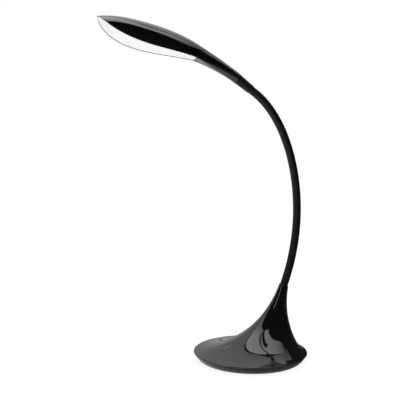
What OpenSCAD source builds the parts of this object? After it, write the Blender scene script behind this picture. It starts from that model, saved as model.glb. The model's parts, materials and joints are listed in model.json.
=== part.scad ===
// Gooseneck desk lamp: a weighted round base under a trumpet-shaped cover, a sleeved
// flexible neck built as a chain of links, and a leaf-shaped head with a light panel.
// Millimetres, +Z up. The origin is on the table, under the middle of the base. The lamp's
// middle plane is XZ, and the head points to -X. Profile points are [x, z] in the base and
// [rise, reach] in the head, where reach runs along the stem from its lower end.

/* [Base cover] */
// Diameter of the cover's rim
base_d = 150; // [144:1:160]
// Height of the rim's top above the table
rim_z = 11; // [10.8:0.1:13]
// Thickness of the rounded rim
lip_t = 1.8; // [1.4:0.1:2.2]
// Wall of the cover
cover_wall = 2.2; // [1.8:0.1:2.4]
// Trumpet's mouth, where the neck comes out, as [x, z]
mouth = [46.9, 96.9]; // [40:0.1:105]
// Lean of the neck at the mouth, from upright towards the rear
mouth_lean = 18.4; // [14:0.1:22]
// Wall of the mouth round the neck
mouth_wall = 0.8; // [0.7:0.1:1.4]
// Depth of the mouth's close bore
mouth_depth = 12; // [9:0.5:13]
// Length of the straight throat at the front of the mouth
front_throat = 14.5; // [10:0.5:18]
// Handle of the front curve at the waist
front_waist = [20, 46.5]; // [10:0.5:60]
// Handle of the front curve at the foot
front_foot = [-17, 13]; // [-25:0.5:18]
// Handle of the rear curve at the throat
back_throat = [46.5, 60]; // [44:0.5:66]
// Handle of the rear curve at the waist
back_waist = [54, 43.5]; // [40:0.5:58]
// Handle of the rear curve at the foot
back_foot = [61.5, 12]; // [11.5:0.5:64]

/* [Touch spot] */
// Place of the touch spot on the front curve, 0 at the mouth and 1 at the rim
touch_place = 0.8; // [0.76:0.01:0.82]
// Diameter of the finger dimple
dimple_d = 13; // [8:0.5:16]
// Depth of the finger dimple
dimple_depth = 0.8; // [0.4:0.1:1]
// Diameter of the electrode under it
electrode_d = 12; // [8:0.5:14]
// Thickness of the electrode
electrode_t = 0.3; // [0.2:0.1:0.6]

/* [Base tray] */
// Diameter of the tray at the table
tray_foot_d = 134; // [126:1:138]
// Height of the tray's underside above the table
tray_z = 0.7; // [0.5:0.1:1]
// Wall of the tray's side
tray_wall = 2.2; // [1.6:0.1:2.6]
// Thickness of the tray's floor
tray_floor = 2.4; // [2:0.1:2.6]
// Radius of the tray's bulged side
tray_bulge_r = 14; // [10:0.5:30]
// Shadow gap between the tray and the cover's rim
shadow_gap = 0.8; // [0.5:0.1:1]
// Step in from the cover's rim to the tray's top edge
shadow_step = 2; // [1.5:0.1:3]
// Diameter of the foam pad
pad_d = 128; // [124:1:130]
// Thickness of the foam pad
pad_t = 1.5; // [1.2:0.1:2]
// Height of the seats round the tray screws, above the floor
seat_h = 2; // [1.5:0.1:2.5]
// Place of the screw posts on the cover, 0 at the mouth and 1 at the rim
post_place = 0.86; // [0.85:0.01:0.87]
// Diameter of the screw posts
post_d = 6; // [5.5:0.1:6.5]

/* [Ballast] */
// Diameter of the ballast plate
ballast_d = 112; // [106:1:114]
// Thickness of the ballast plate
ballast_t = 4.5; // [3.5:0.1:4.8]
// Radius of the circle of ballast screws
ballast_screw_r = 44; // [40:0.5:46]

/* [Neck bracket] */
// Length of the bracket's foot plate
foot_l = 36; // [34:1:40]
// Width of the bracket's foot plate
foot_w = 24; // [18:1:28]
// Thickness of the bracket's foot plate
foot_t = 2.5; // [2:0.1:3]
// Outer diameter of the bracket's tube
bracket_tube_d = 14; // [13:0.1:15]
// Depth of the bracket tube's top below the mouth
bracket_depth = 32; // [30:0.5:36]
// Distance of the bracket's screws from the tube's middle
bracket_screw_x = 14; // [13:0.5:15]

/* [Neck] */
// Number of links between the joints
link_count = 9; // [8:1:10]
// Length of a link from joint to joint
link_l = 29.2; // [27:0.1:31]
// Bend of the lowest link
neck_bend = 5.85; // [4.5:0.05:7]
// Extra bend of the highest link, where the neck turns over
crook_bend = 13.5; // [10:0.5:20]
// How late along the neck the extra bend comes
crook_power = 5.25; // [4:0.25:9]
// Outer diameter of the rubber sleeve
sleeve_d = 10.5; // [10:0.1:10.8]
// Wall of the rubber sleeve
sleeve_wall = 1.2; // [1:0.1:1.4]
// Wall of the strip-wound hose inside it
core_wall = 1.75; // [1.4:0.05:1.9]
// Diameter of the lead through the hose
cable_d = 3.8; // [3:0.1:4]
// Radius of the ball and socket at a joint
ball_r = 7; // [6.6:0.1:7.4]
// Gap between ball and socket
ball_gap = 0.3; // [0.25:0.05:0.4]
// Distance from the mouth to the first joint
root_l = 9; // [8.5:0.5:12]
// Distance from the last joint to the collar
tip_l = 7; // [6.5:0.5:10]

/* [Head] */
// Length of the tapered collar below the stem
collar_l = 20.5; // [16:0.5:24]
// Wall of the collar at its lower end
collar_wall = 0.4; // [0.3:0.1:0.8]
// Diameter of the stem at the collar
stem_d = 13.4; // [13:0.1:14]
// Wall of the head's shells
head_wall = 2; // [1.6:0.1:2.2]
// Wall of the stem's lower end
stem_wall = 1.6; // [1.4:0.1:1.7]
// Tip of the blade, as [rise, reach]
blade_tip = [-49.5, 187.5]; // [-52:0.5:192]
// Half width of the blade at the end of the light panel
waist_half_w = 14.7; // [13.5:0.1:16]
// Spread of the blade behind its round nose
nose_spread = 36; // [32:0.5:40]
// Spread of the blade at its widest
shoulder_spread = 42.5; // [38:0.5:46]
// Spread of the blade where it narrows
taper_spread = 34; // [30:0.5:37]

/* [Light] */
// Thickness of the light panel
panel_t = 1.6; // [1.2:0.1:2]
// Gap between the light panel and the shell
panel_gap = 0.3; // [0.2:0.05:0.4]
// Depth of the light panel behind the blade's rim
panel_recess = 0.5; // [0.3:0.1:1]
// Crown of the light panel
panel_crown = 1.5; // [0.5:0.1:2]
// Length of the LED board
led_board_l = 92; // [80:1:96]
// Width of the LED board
led_board_w = 26; // [22:1:28]
// Thickness of the LED board
led_board_t = 1.5; // [1:0.1:2]
// Thickness of the heat spreader
spreader_t = 1.5; // [1:0.1:2]
// Width by which the heat spreader overhangs the board
spreader_margin = 3; // [2:0.5:4]
// Height of the LED board above the rim's chord
led_board_rise = 5; // [4.5:0.1:6]
// Number of LEDs in a row
led_count = 10; // [6:1:12]
// Size of one LED, as [width, length, height]
led_size = [2.8, 3.5, 0.7]; // [0.5:0.1:4]
// Distance between the two rows of LEDs
led_row_gap = 12; // [8:0.5:16]

/* [Electrics] */
// Size of the control board, as [length, width, thickness]
board_size = [30, 24, 1.6]; // [1.2:0.1:34]
// Place of the control board's middle along X
board_x = -29; // [-31:0.5:-27]
// Height of the pads under the control board
board_pad_h = 1.2; // [1:0.1:1.5]
// Size of the power jack's housing, as [length, width]
jack_size = [12, 7]; // [6:0.5:14]
// Diameter of the jack's socket
jack_bore_d = 3.6; // [3.2:0.1:3.8]
// Diameter of the jack's centre pin
jack_pin_d = 1.3; // [1:0.1:1.5]
// Diameter of one wire
wire_d = 1.3; // [1:0.1:1.4]

/* [Fits] */
// Clearance of screws in their threads
thread_gap = 0.05; // [0.03:0.01:0.1]
// Clearance of screws in through holes
through_gap = 0.2; // [0.1:0.05:0.3]
// Clearance between layers of the neck
layer_gap = 0.1; // [0.06:0.02:0.16]
// Clearance of the neck in the mouth and the collar
mouth_gap = 0.15; // [0.1:0.05:0.2]
// Clearance of the ferrules in their seats
ferrule_gap = 0.05; // [0.03:0.01:0.08]
// Clearance between the two shells of the stem
split_gap = 0.1; // [0.06:0.02:0.2]

/* [Hidden] */
$fn = 64;
black_gloss = "#1b1a1b";
black_tray = "#242324";
black_rubber = "#262626";
steel = "#a9abad";
cast_iron = "#4a4a4c";
brass = "#b99a56";
board_green = "#2f5d3a";

// ---- Plane geometry ----

// Step along a line that leans from upright towards the rear, and the step square to it
function along(lean) = [sin(lean), cos(lean)];
function across(lean) = [cos(lean), -sin(lean)];
function unit(v) = v / norm(v);

// Point of a Bezier curve with any number of handles
function bezier(p, u) =
    len(p) == 1 ? p[0] : bezier([for (i = [0:len(p) - 2]) p[i] * (1 - u) + p[i + 1] * u], u);

// Direction of a Bezier curve
curve_step = 0.004;
function bezier_dir(p, u) = unit(bezier(p, u + curve_step) - bezier(p, u - curve_step));

// ---- Base cover: rings whose diameters join the front curve to the rear curve ----

sleeve_r = sleeve_d / 2;
bore_r = sleeve_r + mouth_gap;
mouth_r = bore_r + mouth_wall;
base_r = base_d / 2;
lip_r = lip_t / 2;

front_curve = [mouth - across(mouth_lean) * mouth_r,
               mouth - across(mouth_lean) * mouth_r - along(mouth_lean) * front_throat,
               front_waist, front_foot, [lip_r - base_r, rim_z]];
back_curve = [mouth + across(mouth_lean) * mouth_r, back_throat, back_waist, back_foot,
              [base_r - lip_r, rim_z]];

// Points of the outer skin's front and rear, and of the inner skin's
function front(u) = bezier(front_curve, u);
function back(u) = bezier(back_curve, u);
function front_in(u) = let (d = bezier_dir(front_curve, u)) front(u) + cover_wall * [-d[1], d[0]];
function back_in(u) = let (d = bezier_dir(back_curve, u)) back(u) + cover_wall * [d[1], -d[0]];

// One point of the ring whose diameter runs from front point f to rear point b
function ring_point(f, b, a) =
    let (c = (f + b) / 2, h = (b - f) / 2)
    [c[0] + h[0] * cos(a), norm(h) * sin(a), c[1] + h[1] * cos(a)];
function ring(f, b, sides) = [for (i = [0:sides - 1]) ring_point(f, b, 360 * i / sides)];

cover_sides = 48;
skin_steps = 14;
lip_steps = 4;
cavity_start = 0.24;
cavity_end = 0.96;
bore_end = mouth - along(mouth_lean) * mouth_depth;

cover_rings = concat(
    [for (i = [0:skin_steps]) ring(front(i / skin_steps), back(i / skin_steps), cover_sides)],
    [for (i = [1:lip_steps])
        let (a = 90 - 180 * i / lip_steps, r = base_r - lip_r + lip_r * cos(a),
             z = rim_z - lip_r + lip_r * sin(a))
        ring([-r, z], [r, z], cover_sides)],
    [for (i = [0:skin_steps - 2])
        let (u = cavity_end + (cavity_start - cavity_end) * i / (skin_steps - 2))
        ring(front_in(u), back_in(u), cover_sides)],
    [for (p = [bore_end, mouth])
        ring(p - across(mouth_lean) * bore_r, p + across(mouth_lean) * bore_r, cover_sides)]);

// Closed skin over a loop of rings, from the first ring on to the last and back to the first
module ring_skin(rings) {
    sides = len(rings[0]);
    count = len(rings);
    polyhedron(
        [for (r = rings) each r],
        [for (i = [0:count - 1], j = [0:sides - 1])
            let (a = i * sides + j, b = i * sides + (j + 1) % sides,
                 c = ((i + 1) % count) * sides + (j + 1) % sides, d = ((i + 1) % count) * sides + j)
            each [[a, b, c], [a, c, d]]]);
}

// Touch spot: its point on the front curve and the slope there
touch_at = front(touch_place);
touch_dir = bezier_dir(front_curve, touch_place);
touch_lean = atan2(touch_dir[1], -touch_dir[0]);
dimple_r = (dimple_d * dimple_d / 4 + dimple_depth * dimple_depth) / (2 * dimple_depth);

// Places something upright on the touch spot's slope, a depth below the outer skin
module on_touch_spot(depth) {
    translate([touch_at[0], 0, touch_at[1]]) rotate([0, touch_lean, 0]) translate([0, 0, -depth])
        children();
}

// ---- Base tray and ballast ----

floor_z = tray_z + tray_floor;
ballast_z = floor_z + ballast_t;
tray_top_z = rim_z - lip_t - shadow_gap;
tray_top_r = base_r - shadow_step;
tray_foot_r = tray_foot_d / 2;
seat_z = floor_z + seat_h;
post_gap = 0.1;

tray_screw_d = 3;
tray_screw_head = [5.6, 1.7];
tray_screw_l = 9;
tray_screw_tip_z = pad_t + tray_screw_head[1] + tray_screw_l;
post_angles = [75, 150, 210, 285];
post_tops = [for (a = post_angles) ring_point(front_in(post_place), back_in(post_place), a)];
post_root = 1;
tray_seat_d = 9;

ballast_screw_d = 3.5;
ballast_screw_head = [8, 1.8];
ballast_screw_angles = [95, 265, 340];
ballast_boss_d = 7;
ballast_boss_drop = 0.4;

// Places copies at the cover's screw posts
module at_posts(z) {
    for (p = post_tops) translate([p[0], p[1], z]) children();
}

// Places copies at the ballast screws
module at_ballast_screws(z) {
    for (a = ballast_screw_angles) rotate([0, 0, a]) translate([ballast_screw_r, 0, z]) children();
}

// ---- Neck bracket ----

ferrule_d = 10;
ferrule_bore_gap = 0.05;
foot_x = mouth[0] - tan(mouth_lean) * (mouth[1] - ballast_z - foot_t);
bracket_screw_d = 4;
bracket_screw_head = [7, 2.2];
bracket_screw_l = 6;
lead_window_d = 8;
lead_window_z = 20;
bracket_bore_bottom = 6;

// ---- Neck chain: joints numbered from 1, link k runs from joint k to joint k + 1 ----

function link_bend(k) = neck_bend + crook_bend * pow((k - 0.5) / link_count, crook_power);
function arc_r(k) = link_l * 180 / (PI * link_bend(k));
function joint_lean(k) = k == 1 ? mouth_lean : joint_lean(k - 1) - link_bend(k - 1);
function link_step(k, lean) = along(lean - link_bend(k) / 2) * 2 * arc_r(k) * sin(link_bend(k) / 2);
function joint_at(k) =
    k == 1 ? mouth + along(mouth_lean) * root_l : joint_at(k - 1) + link_step(k - 1, joint_lean(k - 1));

leans = [for (k = [1:link_count + 1]) joint_lean(k)];
joints = [for (k = [1:link_count + 1]) joint_at(k)];
head_lean = leans[link_count];
head_at = joints[link_count] + along(head_lean) * (tip_l + collar_l);

core_r = sleeve_r - sleeve_wall - layer_gap;
core_bore_r = core_r - core_wall;
cable_r = cable_d / 2;
root_core_depth = 40;
sleeve_in_collar = 8;
core_in_stem = 4;

// Places something with its +Z along the neck
module on_neck(p, lean) {
    translate([p[0], 0, p[1]]) rotate([0, lean, 0]) children();
}

// Cuts the end of a layer below its joint to the ball, and the end before the next joint to the socket
module ball_cut() {
    difference() {
        translate([0, 0, -3 * ball_r]) cylinder(r = 2 * ball_r, h = 3 * ball_r);
        sphere(ball_r);
    }
}

// One layer of link k: sleeve, hose or lead
module link_layer(k, r_in, r_out) {
    ball_turn = link_bend(k) * (ball_r + 1) / link_l;
    difference() {
        on_neck(joints[k - 1], leans[k - 1]) translate([-arc_r(k), 0, 0])
            rotate([90, 0, 0]) rotate([0, 0, -ball_turn])
                rotate_extrude(angle = link_bend(k) + ball_turn, $fn = 360) translate([arc_r(k), 0])
                    difference() {
                        circle(r_out, $fn = 64);
                        if (r_in > 0) circle(r_in, $fn = 64);
                    }
        on_neck(joints[k - 1], leans[k - 1]) ball_cut();
        on_neck(joints[k], leans[k]) sphere(ball_r + ball_gap);
    }
}

// One layer of the neck's root, from a depth below the mouth to the first joint's socket
module root_layer(depth, r_in, r_out) {
    on_neck(joints[0], mouth_lean) rotate_extrude() difference() {
        translate([r_in, -depth - root_l]) square([r_out - r_in, depth + root_l]);
        circle(ball_r + ball_gap);
    }
}

// One layer of the neck's tip, from the last joint's ball on by a length
module tip_layer(length, r_in, r_out) {
    on_neck(joints[link_count], head_lean) rotate_extrude() difference() {
        translate([r_in, -ball_r]) square([r_out - r_in, ball_r + length]);
        difference() {
            translate([0, -2 * ball_r]) square([2 * ball_r, 2 * ball_r]);
            circle(ball_r);
        }
    }
}

// ---- Head: curves in the middle plane as [rise, reach], and half widths ----

stem_r = stem_d / 2;
rim_waist = [-15, 60.5];
crest_waist = [2.5, 64.5];
rim_curve = [blade_tip, blade_tip + [-1, -4.5], [-69, 145.5], [-33, 105.5], rim_waist];
crest_curve = [blade_tip, [-23.5, 157], [-33, 157], [-3, 121], crest_waist];
spread_curve = [0, nose_spread, shoulder_spread, taper_spread, waist_half_w];
stem_rim_curve = [rim_waist, [-10, 47], [0, 20], [0, 0]];
stem_crest_curve = [crest_waist, [4.5, 47.5], [stem_r, 22], [stem_r, 0]];
stem_spread_curve = [waist_half_w, 9, stem_r, stem_r];
stem_under_curve = [rim_waist + [-0.5, 0], [-12.5, 42], [-stem_r, 20], [-stem_r, 0]];

blade_start = 0.01;
hollow_start = 0.08;
blade_steps = 18;
stem_steps = 8;
arc_steps = 14;

// Half-elliptic row of points from one edge over a crest to the other edge
function rib(edge, crest, half_w) =
    [for (j = [0:arc_steps]) let (a = 180 * j / arc_steps, p = edge + (crest - edge) * sin(a))
        [p[0], -half_w * cos(a), p[1]]];

// Ribs of the blade's outer and inner skins at place u, and of the stem's two shells
function blade_rib(u) = rib(bezier(rim_curve, u), bezier(crest_curve, u), bezier(spread_curve, u));
function hollow_rib(u) =
    let (v = hollow_start + (1 - hollow_start) * u, e = bezier(rim_curve, v), c = bezier(crest_curve, v))
    rib(e, c - unit(c - e) * head_wall, bezier(spread_curve, v) - head_wall);
function stem_wall_at(u) = head_wall + (stem_wall - head_wall) * u;
function shell_rib(edges, crests, u, inset) =
    let (e = bezier(edges, u), c = bezier(crests, u))
    rib(e, c - unit(c - e) * inset, bezier(stem_spread_curve, u) - inset);

// Solid between an upper and a lower sheet of ribs that share their numbers of ribs and points
module shell_solid(upper, lower) {
    ribs = len(upper);
    points = len(upper[0]);
    function at(sheet, i, j) = (sheet * ribs + i) * points + j;
    polyhedron(
        concat([for (r = upper) each r], [for (r = lower) each r]),
        concat(
            [for (i = [0:ribs - 2], j = [0:points - 2]) each
                [[at(0, i, j), at(0, i, j + 1), at(0, i + 1, j + 1)],
                 [at(0, i, j), at(0, i + 1, j + 1), at(0, i + 1, j)],
                 [at(1, i, j), at(1, i + 1, j + 1), at(1, i, j + 1)],
                 [at(1, i, j), at(1, i + 1, j), at(1, i + 1, j + 1)]]],
            [for (i = [0:ribs - 2]) each
                [[at(0, i, 0), at(0, i + 1, 0), at(1, i + 1, 0)],
                 [at(0, i, 0), at(1, i + 1, 0), at(1, i, 0)],
                 [at(0, i, points - 1), at(1, i, points - 1), at(1, i + 1, points - 1)],
                 [at(0, i, points - 1), at(1, i + 1, points - 1), at(0, i + 1, points - 1)]]],
            [for (j = [0:points - 2]) each
                [[at(0, 0, j), at(1, 0, j), at(1, 0, j + 1)],
                 [at(0, 0, j), at(1, 0, j + 1), at(0, 0, j + 1)],
                 [at(0, ribs - 1, j), at(0, ribs - 1, j + 1), at(1, ribs - 1, j + 1)],
                 [at(0, ribs - 1, j), at(1, ribs - 1, j + 1), at(1, ribs - 1, j)]]]));
}

// Places something in the head's own axes: +X rise, +Z reach
module on_head() {
    on_neck(head_at, head_lean) children();
}

// LED board: it lies along the chord of the rim between two places
chord_a = bezier(rim_curve, 0.35);
chord_b = bezier(rim_curve, 0.93);
chord_dir = unit(chord_a - chord_b);
chord_up = [chord_dir[1], -chord_dir[0]];
led_mid = (chord_a + chord_b) / 2 + chord_up * led_board_rise;
head_screw_d = 2.5;
head_screw_head = [4.6, 1.3];
head_screw_l = 8;
head_post_d = 5.5;
head_post_root = 1;
post_crests = [for (u = [0.5, 0.72, 0.9]) bezier(crest_curve, u) - led_mid];

// Places something on the LED board: +X towards the tip, +Z towards the dome
module on_led_board(z) {
    on_head() translate([led_mid[0], 0, led_mid[1]])
        multmatrix([[chord_dir[0], 0, chord_up[0], 0], [0, 1, 0, 0], [chord_dir[1], 0, chord_up[1], 0]])
            translate([0, 0, z]) children();
}

// Places copies at the head's screw posts
module at_head_posts(z) {
    for (p = post_crests) on_led_board(z) translate([p * chord_dir, 0, 0]) children();
}

// ---- Small parts ----

// Pan-head screw with a cross recess: tip down, head's underside at z = 0
module screw(d, l, head) {
    recess_w = d / 4;
    difference() {
        union() {
            translate([0, 0, -l]) cylinder(d = d, h = l);
            cylinder(d = head[0], h = head[1]);
        }
        for (a = [0, 90]) rotate([0, 0, a])
            translate([-head[0] / 4, -recess_w / 2, head[1] / 2]) cube([head[0] / 2, recess_w, head[1]]);
    }
}

// Round wire swept along a route, with square ends
wire_sides = 8;
module wire(route, r) {
    last = len(route) - 1;
    tangents = [for (i = [0:last]) unit(route[min(i + 1, last)] - route[max(i - 1, 0)])];
    rings = [for (i = [0:last])
        let (t = tangents[i], s = unit(cross(t, [0, 1, 0.01])), n = cross(s, t))
        [for (j = [0:wire_sides - 1]) let (a = 360 * j / wire_sides) route[i] + r * (s * cos(a) + n * sin(a))]];
    polyhedron(
        [for (g = rings) each g],
        concat(
            [for (i = [0:last - 1], j = [0:wire_sides - 1])
                let (a = i * wire_sides + j, b = i * wire_sides + (j + 1) % wire_sides)
                each [[a, b, a + wire_sides], [b, b + wire_sides, a + wire_sides]]],
            [[for (j = [wire_sides - 1:-1:0]) j],
             [for (j = [0:wire_sides - 1]) last * wire_sides + j]]));
}

// Points of a Bezier route for a wire
function route(p, steps) = [for (i = [0:steps]) bezier(p, i / steps)];

// ---- Base pieces ----

module base_cover() {
    color(black_gloss) difference() {
        union() {
            ring_skin(cover_rings);
            for (p = post_tops) translate([p[0], p[1], seat_z + post_gap])
                cylinder(d = post_d, h = p[2] + post_root - seat_z - post_gap);
        }
        at_posts(seat_z)
            cylinder(d = tray_screw_d + 2 * thread_gap, h = tray_screw_tip_z + through_gap - seat_z);
        on_touch_spot(dimple_depth) translate([0, 0, dimple_r]) sphere(dimple_r);
    }
}

// Arc of the tray's bulged side, which joins its foot to its top edge
tray_foot = [tray_foot_r, tray_z];
tray_top = [tray_top_r, tray_top_z];
bulge_half = norm(tray_top - tray_foot) / 2;
bulge_dir = unit(tray_top - tray_foot);
bulge_centre = (tray_foot + tray_top) / 2
             + sqrt(tray_bulge_r * tray_bulge_r - bulge_half * bulge_half) * [-bulge_dir[1], bulge_dir[0]];
bulge_steps = 8;

// Points of that arc between two heights, set in by the wall
function bulge_angle(z, inset) = asin((z - bulge_centre[1]) / (tray_bulge_r - inset));
function bulge(z_from, z_to, inset) =
    [for (i = [0:bulge_steps])
        let (a = bulge_angle(z_from, inset)
               + (bulge_angle(z_to, inset) - bulge_angle(z_from, inset)) * i / bulge_steps)
        bulge_centre + (tray_bulge_r - inset) * [cos(a), sin(a)]];

module base_tray() {
    step_z = tray_top_z - cover_wall;
    color(black_tray) difference() {
        union() {
            rotate_extrude() polygon(concat(
                [[0, tray_z]], bulge(tray_z, tray_top_z, 0),
                [[tray_top_r - tray_wall, tray_top_z], [tray_top_r - tray_wall, step_z]],
                bulge(step_z, floor_z, tray_wall), [[0, floor_z]]));
            at_posts(tray_z) cylinder(d = tray_seat_d, h = seat_z - tray_z);
            at_ballast_screws(tray_z)
                cylinder(d = ballast_boss_d, h = ballast_z - ballast_boss_drop - tray_z);
        }
        cylinder(d = pad_d + 2 * through_gap, h = pad_t);
        at_posts(0) cylinder(d = tray_screw_head[0] + 2 * through_gap, h = pad_t + tray_screw_head[1]);
        at_posts(0) cylinder(d = tray_screw_d + 2 * through_gap, h = rim_z);
        at_ballast_screws(floor_z) cylinder(d = ballast_screw_d + 2 * thread_gap, h = ballast_z);
        translate([jack_front_x - 1, 0, jack_z]) rotate([0, 90, 0])
            cylinder(d = jack_nose_d + 2 * through_gap, h = base_r);
    }
}

module base_pad() {
    color("#3a3a3b") cylinder(d = pad_d, h = pad_t);
}

module ballast_plate() {
    color(cast_iron) difference() {
        union() {
            translate([0, 0, floor_z]) cylinder(d = ballast_d, h = ballast_t);
            at_board_screws(ballast_z) cylinder(d = board_pad_d, h = board_pad_h);
        }
        at_posts(floor_z) cylinder(d = tray_seat_d + 4 * through_gap, h = ballast_z);
        at_ballast_screws(floor_z) cylinder(d = ballast_boss_d + 2 * through_gap, h = ballast_z);
        at_bracket_screws(ballast_z + foot_t - bracket_screw_l)
            cylinder(d = bracket_screw_d + 2 * thread_gap, h = bracket_screw_l);
        at_board_screws(floor_z + 1) cylinder(d = board_screw_d + 2 * thread_gap, h = ballast_z);
        translate([jack_rear_x - through_gap, -jack_size[1] / 2 - through_gap, 0])
            cube([base_r, jack_size[1] + 2 * through_gap, mouth[1]]);
    }
}

module ballast_screws() {
    color(steel) at_ballast_screws(ballast_z) screw(ballast_screw_d, ballast_t - 1, ballast_screw_head);
}

module tray_screws() {
    color(steel) at_posts(pad_t + tray_screw_head[1]) mirror([0, 0, 1])
        screw(tray_screw_d, tray_screw_l, tray_screw_head);
}

// Places copies at the bracket's two screws
module at_bracket_screws(z) {
    for (s = [-1, 1]) translate([foot_x + s * bracket_screw_x, 0, z]) children();
}

module neck_bracket() {
    color(steel) difference() {
        union() {
            translate([foot_x - foot_l / 2, -foot_w / 2, ballast_z]) cube([foot_l, foot_w, foot_t]);
            difference() {
                on_neck(mouth, mouth_lean)
                    translate([0, 0, -mouth[1]]) cylinder(d = bracket_tube_d, h = mouth[1] - bracket_depth);
                translate([-base_r, -base_r, ballast_z - base_r]) cube([base_d, base_d, base_r]);
            }
        }
        on_neck([foot_x, ballast_z + foot_t], mouth_lean) translate([0, 0, bracket_bore_bottom])
            cylinder(d = ferrule_d + 2 * ferrule_gap, h = mouth[1]);
        translate([0, 0, lead_window_z]) rotate([0, 90, 0])
            cylinder(d = lead_window_d, h = foot_x + (lead_window_z - ballast_z) * tan(mouth_lean));
        at_bracket_screws(ballast_z - 1) cylinder(d = bracket_screw_d + 2 * through_gap, h = foot_t + 2);
    }
}

module bracket_screws() {
    color(steel) at_bracket_screws(ballast_z + foot_t)
        screw(bracket_screw_d, bracket_screw_l - 1, bracket_screw_head);
}

ferrule_flange_d = 13.5;
ferrule_flange_t = 4;
ferrule_crimp_l = 8;
ferrule_in_tube = 14;
module lower_ferrule() {
    color(brass) on_neck(mouth, mouth_lean) translate([0, 0, -bracket_depth]) difference() {
        union() {
            translate([0, 0, -ferrule_in_tube])
                cylinder(d = ferrule_d, h = ferrule_in_tube + ferrule_crimp_l);
            cylinder(d = ferrule_flange_d, h = ferrule_flange_t, $fn = 6);
        }
        translate([0, 0, bracket_depth - root_core_depth])
            cylinder(r = core_r + layer_gap, h = mouth[1]);
        translate([0, 0, -mouth[1]]) cylinder(r = core_bore_r, h = 2 * mouth[1]);
    }
}

// ---- Electrics in the base ----

board_screw_d = 2.5;
board_screw_head = [4.6, 1.4];
board_pad_d = 5.5;
board_margin = 3;
board_z = ballast_z + board_pad_h;
board_top_z = board_z + board_size[2];

// Places copies at two opposite corners of the control board
module at_board_screws(z) {
    for (s = [-1, 1])
        translate([board_x + s * (board_size[0] / 2 - board_margin),
                   s * (board_size[1] / 2 - board_margin), z]) children();
}

module control_board() {
    color(board_green) difference() {
        translate([board_x - board_size[0] / 2, -board_size[1] / 2, board_z]) cube(board_size);
        at_board_screws(0) cylinder(d = board_screw_d + 2 * through_gap, h = mouth[1]);
    }
}

// Components as [x, y, length, width, height] from the board's middle
components = [[-7, 5, 5, 4, 1.5], [2, -6, 6, 6, 3], [6, 4, 4, 7, 2.2], [-2, 8, 3, 1.6, 1], [9.5, -6, 2.5, 4, 1.2]];
module board_components() {
    color("#2b2b2d") for (c = components)
        translate([board_x + c[0] - c[2] / 2, c[1] - c[3] / 2, board_top_z]) cube([c[2], c[3], c[4]]);
}

module board_screws() {
    color(steel) at_board_screws(board_top_z)
        screw(board_screw_d, board_size[2] + board_pad_h + 2, board_screw_head);
}

electrode_gap = 0.35;
module touch_electrode() {
    color(brass) on_touch_spot(cover_wall + electrode_gap + electrode_t)
        cylinder(d = electrode_d, h = electrode_t);
}

contact_d = 2.2;
contact_tip_d = 1.2;
contact_gap = 0.4;
contact_x = touch_at[0] + (cover_wall + electrode_gap + electrode_t) * sin(-touch_lean);
contact_top_z = touch_at[1] - (cover_wall + electrode_gap + electrode_t) * cos(touch_lean) - contact_gap;
module touch_contact() {
    color(brass) translate([contact_x, 0, board_top_z]) {
        cylinder(d = contact_d, h = (contact_top_z - board_top_z) / 2);
        cylinder(d = contact_tip_d, h = contact_top_z - board_top_z);
    }
}

// The jack's height leaves a bridge of the tray's wall over its hole
jack_gap = 0.1;
jack_bridge = 0.5;
jack_h = tray_top_z - jack_bridge - floor_z - jack_gap;
jack_nose_d = jack_h - 2 * through_gap;
jack_z = floor_z + jack_gap + jack_h / 2;
jack_socket_l = 8;
// Its housing stands just inside the tray's wall, and its nose ends just inside the outer side
jack_recess = 0.3;
tray_in_r = min(bulge(floor_z, floor_z, tray_wall)[0][0], tray_top_r - tray_wall);
tray_out_r = bulge(jack_z, jack_z, 0)[0][0];
jack_front_x = sqrt(tray_in_r * tray_in_r - jack_size[1] * jack_size[1] / 4) - through_gap;
jack_rear_x = jack_front_x - jack_size[0];
jack_end_x = tray_out_r - jack_recess;
module power_jack() {
    color(black_tray) difference() {
        union() {
            translate([jack_rear_x, -jack_size[1] / 2, floor_z + jack_gap])
                cube([jack_size[0], jack_size[1], jack_h]);
            translate([jack_front_x, 0, jack_z]) rotate([0, 90, 0])
                cylinder(d = jack_nose_d, h = jack_end_x - jack_front_x);
        }
        translate([jack_end_x - jack_socket_l, 0, jack_z]) rotate([0, 90, 0])
            cylinder(d = jack_bore_d, h = jack_socket_l + 1);
        translate([jack_end_x - jack_socket_l - 1, 0, jack_z]) rotate([0, 90, 0])
            cylinder(d = jack_pin_d + 2 * thread_gap, h = 2);
    }
}

module power_jack_pin() {
    color(steel) translate([jack_end_x - jack_socket_l - 1, 0, jack_z])
        rotate([0, 90, 0]) cylinder(d = jack_pin_d, h = jack_socket_l - 1);
}

// The leads rise from the jack, pass beside the bracket's foot and come down on the board
wire_r = wire_d / 2;
wire_lie_z = ballast_z + wire_r + 0.1;
lead_start = [jack_rear_x + 2, jack_gap + jack_h + floor_z + 0.1];
lead_turn_x = foot_x + foot_l / 2 + 7;
lead_pass_y = foot_w / 2 + 13;
lead_end_x = board_x + board_size[0] / 2 - 3;
module power_leads() {
    color("#7d2222") for (s = [-1, 1])
        wire(route([[lead_start[0], 1.6 * s, lead_start[1]], [lead_start[0], 1.6 * s, lead_start[1] + 5],
                    [lead_turn_x + 7, 6 + s, wire_lie_z + 1], [lead_turn_x + s, lead_pass_y - 4 + s, wire_lie_z],
                    [foot_x + 4, lead_pass_y + s, wire_lie_z],
                    [foot_x - foot_l / 2, lead_pass_y + s, wire_lie_z],
                    [lead_end_x + 8 - 1.5 * s, 9 + s, wire_lie_z + 1],
                    [lead_end_x - s, 2, board_top_z + 5], [lead_end_x - s, 2, board_top_z + 0.3]], 28), wire_r);
}

cable_bend = 8;
cable_axis_l = (mouth[1] - lead_window_z) / cos(mouth_lean);
cable_turn = mouth - along(mouth_lean) * (cable_axis_l - cable_bend);
cable_corner = mouth - along(mouth_lean) * cable_axis_l;
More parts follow.
